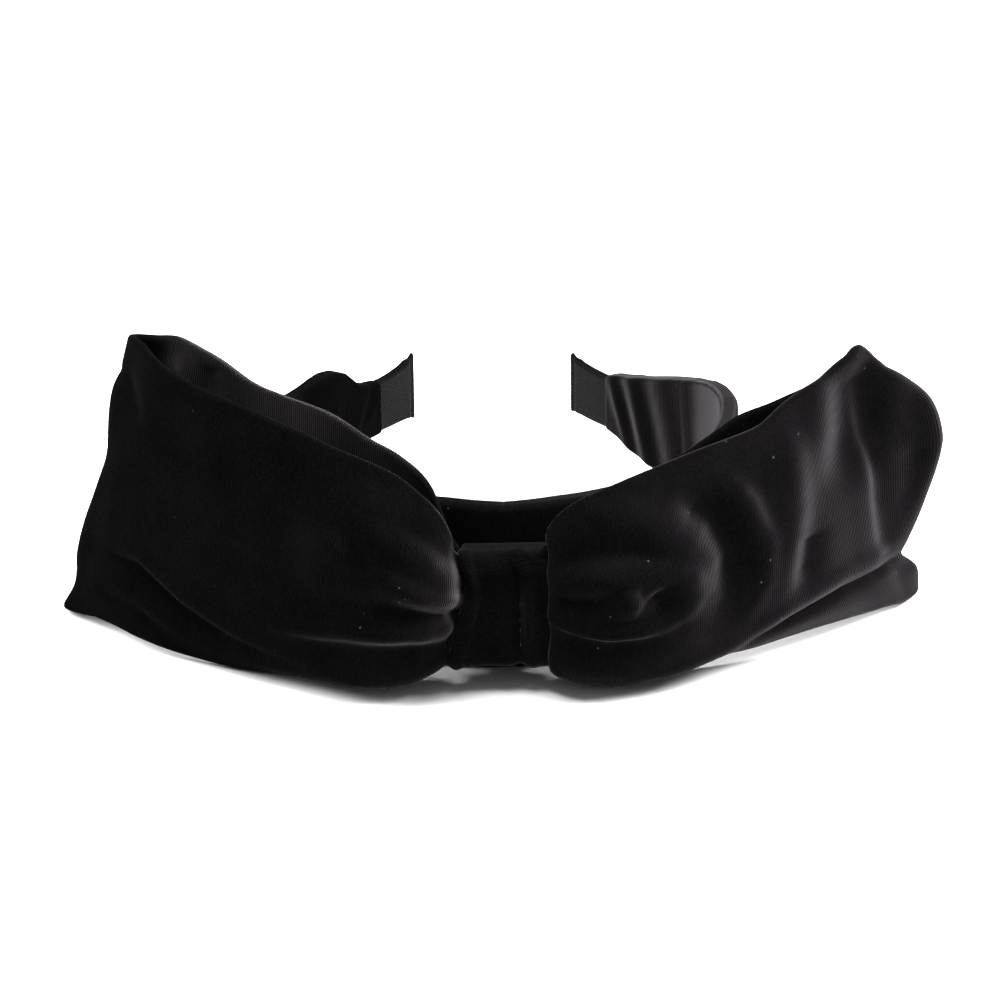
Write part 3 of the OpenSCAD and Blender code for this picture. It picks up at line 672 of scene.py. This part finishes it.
# %% Sleeve halves
sleeve_tops = {
    1: [(0, 37.4), (14, 38), (70, 38), (90, 38), (100, 36.6), (108, 35), (114, 34.3), (120, 33.7),
        (127, 32.8), (131, 31.9), (135, 30.8), (139, 29.8), (143, 28.8), (147, 27.9),
        (151, 27.1), (153.3, 26.6), (154.5, 26.2)],
    -1: [(0, 37.4), (14, 38), (70, 38), (90, 37), (100, 35), (108, 33), (114, 32), (120, 31.8),
         (127, 32.2), (131, 32.8), (135, 33.1), (139, 32.6), (142, 31.4), (145, 29),
         (147, 27.2), (151, 25.9), (154.5, 25.6)]}
sleeve_bottoms = {
    1: [(0, 0), (80, 0), (100, 1.4), (112, 2.8), (124, 4.6), (131, 6.4), (139, 7.6), (143, 8.4),
        (147, 9.6), (151, 11.2), (154.5, 12)],
    -1: [(0, 0), (80, 0), (100, 1.6), (112, 3.2), (124, 5.6), (131, 7.6), (139, 10), (143, 11),
         (147, 11.6), (151, 11.9), (154.5, 12)]}
gathers = {1: [(131, 3.4, 0.7), (137.5, 2.4, -0.35), (142, 2.2, 0.9), (146, 1.7, -0.35),
               (149.5, 1.6, 0.7), (122, 4, 0.4)],
           -1: [(133, 4.0, 0.6), (141, 2.0, -0.35), (146, 1.2, 0.5), (148.5, 1.0, -0.35),
                (151, 1.0, 0.3), (122, 4, -0.3)]}


def sleeve_rings(side, inner):
    """Rings of the sleeve's outer or inner face, with the arm's gathers on the outer one."""
    us = np.concatenate([[0, 0.03], np.linspace(0.12, 126, 230),
                         np.linspace(126, SLEEVE_END, 110)[1:]])
    tops, bottoms = np.array(sleeve_tops[side]), np.array(sleeve_bottoms[side])
    rings = []
    for u in us:
        z1 = np.interp(u, *tops.T)
        z0 = np.interp(u, *bottoms.T)
        if inner:
            tight = min(1, max(0, (u - 143) / 2))
            deep = 0.7 - 0.36 * tight
            ring = ring_at(u, deep, 3.4 - 0.5 * tight, z0 + 0.6 - 0.3 * tight,
                           z1 - 0.7 + 0.3 * tight, 0.5, side)
        else:
            end = max(0, (u - 152) / 2.5)
            ring = ring_at(u, -0.1 + 0.05 * end, SLEEVE_T + 0.1 - 0.6 * end, z0, z1, 1.2, side)
            point, out, _ = band_frame(u)
            depth = (ring[:, :2] - point * [side, 1]) @ (out * [side, 1])
            up = (ring[:, 2] - z0) / (z1 - z0)
            for centre, width, height in gathers[side]:
                lean = 9 * (up - 0.5)
                swell = height * math.exp(-((u - centre) / width) ** 2 / 8) * np.exp(
                    -((u - centre - lean) / width) ** 2 / 2)
                face = np.where(depth > 2, 0.8, -1.0)
                ring[:, 0] += side * out[0] * swell * face
                ring[:, 1] += out[1] * swell * face
        rings.append(ring)
    return np.array(rings)


def walled(name, outer, inner, material, nap=None, rise=None):
    """A tube with a real wall: down its outer face, round the far rim and back up inside."""
    ring = np.concatenate([outer, inner[::-1]]) * MM
    if nap is not None:
        nap = np.concatenate([np.full(len(outer), nap), np.full(len(inner), -nap)])
    if rise is not None:
        rise = np.concatenate([rise, 0 * rise])
    return tube(name, ring, material, cyclic=True, nap=nap, rise=rise)


outer_right, outer_left = sleeve_rings(1, False), sleeve_rings(-1, False)
crown_rise = np.clip((40 - np.abs(outer_right[:, 10, 0])) / 12, 0, 1)
sleeve_right = walled("sleeve_right", outer_right, sleeve_rings(1, True), band_velvet, 0.22,
                      0.75 * crown_rise * (outer_right[:, 10, 1] < -20))
sleeve_left = walled("sleeve_left", outer_left, sleeve_rings(-1, True), band_velvet, -0.42,
                     0.55 * crown_rise * (outer_right[:, 10, 1] < -20))
print("sleeve halves:", len(outer_right), "rings each")

# %% [markdown]
# ## Ribbon tips
# A grosgrain ribbon is folded round each end of the strip and pressed flat just past it, so it
# flares a little at its cut edge. It has a real wall, because the strip fills it.

# %% Ribbon tips
def ribbon_rings(side, flare, inner):
    us = np.concatenate([np.linspace(146, 166.7, 30), np.linspace(166.9, 169.2, 16)])
    rings = []
    for u in us:
        press = min(1, max(0, (u - 166.7) / 1.2))
        press = press * press * (3 - 2 * press)
        half = 1.25 - 0.8 * press + 0.2 * max(0, (u - 168.3) / 0.9)
        f = max(0, (u - 156) / 13.2) ** 2
        pull = min(1, max(0, (u - 165.4) / 3.8)) ** 1.6
        z0, z1 = 12.5 - flare[0] * f - 0.9 * pull, 25.5 + flare[1] * f + 0.7 * pull
        wall = 0.32 if inner else 0
        half = max(0.12, half - wall) if inner else half
        rings.append(ring_at(u, 1.6 - half, 1.6 + half, z0 + wall, z1 - wall,
                             0.4 if inner else 0.7, side, faces=30))
    return np.array(rings)


def ribbon_tip(name, side, flare):
    return walled(name, ribbon_rings(side, flare, False), ribbon_rings(side, flare, True),
                  grosgrain)


tip_right = ribbon_tip("tip_ribbon_right", 1, (-0.9, 1.6))
tip_left = ribbon_tip("tip_ribbon_left", -1, (0.2, 2.3))
print("ribbon tips:", tip_right.name, tip_left.name)

# %% [markdown]
# ## Knot
# On the real bow one strip of the same velvet is wrapped round the waist and hides the thread.
# Here it is a closed band: its rows run round the waist and its columns across the strip, and
# its left edge widens towards the bottom. Folds down its front stand for the gathered layers.

# %% Knot
KNOT_C = (-74.05, 18.4)


def knot_path(count, half_d, half_h, corner):
    """Round the waist in the YZ plane: from the back's middle over the top and down the front."""
    corners = []
    for cy, cz, a0 in ((half_d - corner, half_h - corner, 0), (-half_d + corner, half_h - corner,
                       90), (-half_d + corner, -half_h + corner, 180),
                       (half_d - corner, -half_h + corner, 270)):
        corners += [(cy + corner * math.cos(a), cz + corner * math.sin(a))
                    for a in np.radians(np.linspace(a0, a0 + 90, 9))]
    line = [(half_d, 0)] + corners + [(half_d, 0)]
    return even(np.array(line), count)


def knot_piece():
    rows, across = 150, 60
    path = knot_path(rows + 1, 4.9, 12.3, 3.2)[:-1]
    left_edge = [(-13, -14.6), (-10, -13.4), (-5, -11.8), (-1, -10.4), (3, -9.3), (13, -9.9)]
    right_edge = [(-13, 9.4), (0, 10.0), (8, 9.7), (13, 8.8)]
    left, right = np.array(left_edge), np.array(right_edge)
    rings = []
    for y, z in path:
        front = min(1, max(0, 0.4 - y / 4))
        xl = front * np.interp(z, *left.T) - (1 - front) * 8.4
        xr = front * np.interp(z, *right.T) + (1 - front) * 8.7
        xs = np.linspace(xl, xr, across)
        rings.append([(x, KNOT_C[0] + y, KNOT_C[1] + z) for x in xs])
    return np.array(rings) * MM


KNOT_FOLDS = (
    ([(-1.5, 31.2), (2.2, 30.8), (4.4, 28.4), (5.2, 25), (5.4, 15), (5.6, 3)], 1.6, 0.9),
    ([(-1.6, 30.0), (1.2, 29.4), (2.8, 26.6), (3.0, 21), (3.0, 2)], -1.5, 0.9),
    ([(-9.4, 34), (-7.9, 28), (-6.7, 24), (-8.0, 18), (-9.6, 11), (-12, 0)], 1.4, 0.7),
    ([(-10.6, 32), (-9.0, 27), (-8.2, 23.6), (-9.8, 18), (-11.6, 11), (-14, 2)], -1.0, 0.7),
    ([(-4.0, 27), (-3.2, 19), (-4.0, 4)], -0.6, 1.5))


def knot_with_folds():
    """The knot's strip with the folds that run down its front."""
    grid = knot_piece()
    n = normals_of(np.concatenate([grid[-2:], grid, grid[:2]]))[2:-2] * KNOT_OUT
    front = np.clip((-74.5 - grid[:, :, 1] / MM) / 2, 0, 1)
    push = sum(fold(grid, line, height, width) for line, height, width in KNOT_FOLDS) * front
    return grid + n * push[..., None] * MM


knot_grid = knot_with_folds()
knot_top = np.clip((knot_grid[:, 30, 2] / MM - 21) / 6, 0, 1) * 0.7
knot = slab("knot_strip", knot_grid, 1.5 * MM, bow_velvet, 1, cyclic=True, nap=0.0, rise=knot_top)
print("knot:", len(knot.data.polygons), "faces")

# %% [markdown]
# ## Joining the cloth to the body
# The bow, its interlinings and the knot ride on the crown, and each ribbon rides on its arm. The
# sleeve halves ride on no body: they stay where they are made and do not bend at the flex point.


for piece, side, arm in ((sleeve_right, 1, "right"), (sleeve_left, -1, "left")):
    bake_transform(piece)
    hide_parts("sleeve_crown_" + arm, "sleeve_" + arm + "_arm")
for piece, arm in ((tip_right, "right"), (tip_left, "left")):
    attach(piece, arm + "_arm")
    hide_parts(arm + "_tip_ribbon")
for piece, node in ((bow_left, "bow_left_loop"), (bow_right, "bow_right_loop")):
    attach(piece, "crown")
    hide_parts(node)
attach(knot, "crown")
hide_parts("knot_wrap")

# %% [markdown]
# ## Flat sizes
# Each piece is listed with the flat cloth it stands for, in metres, how it is held and what it
# rests on, and the sizes are printed. The lengths of the leaves, the interlinings and the sleeve
# are those of the modelled lines. The widths of the leaves and interlinings, and both sizes of the
# knot, are estimates: the knot's mesh is shorter and wider.

def run_length(grid):
    """Length of the middle line of a grid, in metres."""
    middle = grid[:, grid.shape[1] // 2]
    return float(np.linalg.norm(np.diff(middle, axis=0), axis=1).sum())


sleeve_run = sum(float(np.linalg.norm(band_frame(u + 0.5)[0] - band_frame(u)[0]))
                 for u in np.arange(0, SLEEVE_END, 0.5)) * MM
LEAF_WIDTH, INTERLINING_WIDTH, SLEEVE_WIDTH = 0.066, 0.058, 0.084
KNOT_FLAT, RIBBON_FLAT = (0.0175, 0.078), (0.030, 0.023)
SHEETS = ((bow_left, (LEAF_WIDTH, run_length(left_grid)), "gathered", ["knot_strip"]),
          (bow_right, (LEAF_WIDTH, run_length(right_grid)), "gathered", ["knot_strip"]),
          (stiff_left, (INTERLINING_WIDTH, run_length(left_grid[INSET:-INSET])), "folded",
           ["bow_left_leaf"]),
          (stiff_right, (INTERLINING_WIDTH, run_length(right_grid[INSET:-INSET])), "folded",
           ["bow_right_leaf"]),
          (knot, KNOT_FLAT, "folded", ["bow_left_leaf", "bow_right_leaf"]),
          (sleeve_right, (SLEEVE_WIDTH, sleeve_run), "stretched", ["core_crown", "core_right_arm"]),
          (sleeve_left, (SLEEVE_WIDTH, sleeve_run), "stretched", ["core_crown", "core_left_arm"]),
          (tip_right, RIBBON_FLAT, "folded", ["core_right_arm"]),
          (tip_left, RIBBON_FLAT, "folded", ["core_left_arm"]))
for piece, flat, held, rests_on in SHEETS:
    print(piece.name, "declared as", [round(1000 * v, 1) for v in flat], "mm")

# %% [markdown]
# ## Floor and light
# The floor and the world are near white and the light is soft. The key light stands on the
# right and a weaker one on the left, so both skim the pile and pick out the folds. The Standard
# view transform keeps near-black velvet near black on a white ground.

# %% Floor and light
def area_light(name, place, aim, size, watts, colour="#ffffff"):
    data = bpy.data.lights.new(name, "AREA")
    data.shape, data.size, data.energy = "SQUARE", size, watts
    data.color = linear(colour)[:3]
    lamp = bpy.data.objects.new(name, data)
    bpy.context.scene.collection.objects.link(lamp)
    lamp.location = place
    lamp.rotation_euler = (Vector(aim) - Vector(place)).to_track_quat("-Z", "Y").to_euler()


bpy.ops.object.select_all(action="DESELECT")
FLOOR_SIZE = 6
bpy.ops.mesh.primitive_plane_add(size=FLOOR_SIZE, location=(0, 0, 0))
floor = bpy.context.object
floor.name = "floor"
floor_white = new_material("white_floor")
finish_material(floor_white, add_node(floor_white, "ShaderNodeBsdfPrincipled",
                                      Base_Color=linear("#fbfbfb"), Roughness=0.9))
floor.data.materials.append(floor_white)
studio = bpy.data.worlds.new("studio")
bpy.context.scene.world = studio
studio.use_nodes = True
studio.node_tree.nodes["Background"].inputs[0].default_value = linear("#ffffff")
studio.node_tree.nodes["Background"].inputs[1].default_value = 0.3
area_light("key", (0.60, -0.05, 0.50), (0, -0.03, 0.02), 0.35, 14)
area_light("side", (-0.70, 0.08, 0.45), (0, -0.03, 0.03), 0.4, 11)
area_light("top", (-0.05, -0.12, 0.9), (0, -0.03, 0.02), 0.5, 14)
bpy.context.scene.view_settings.view_transform = "Standard"
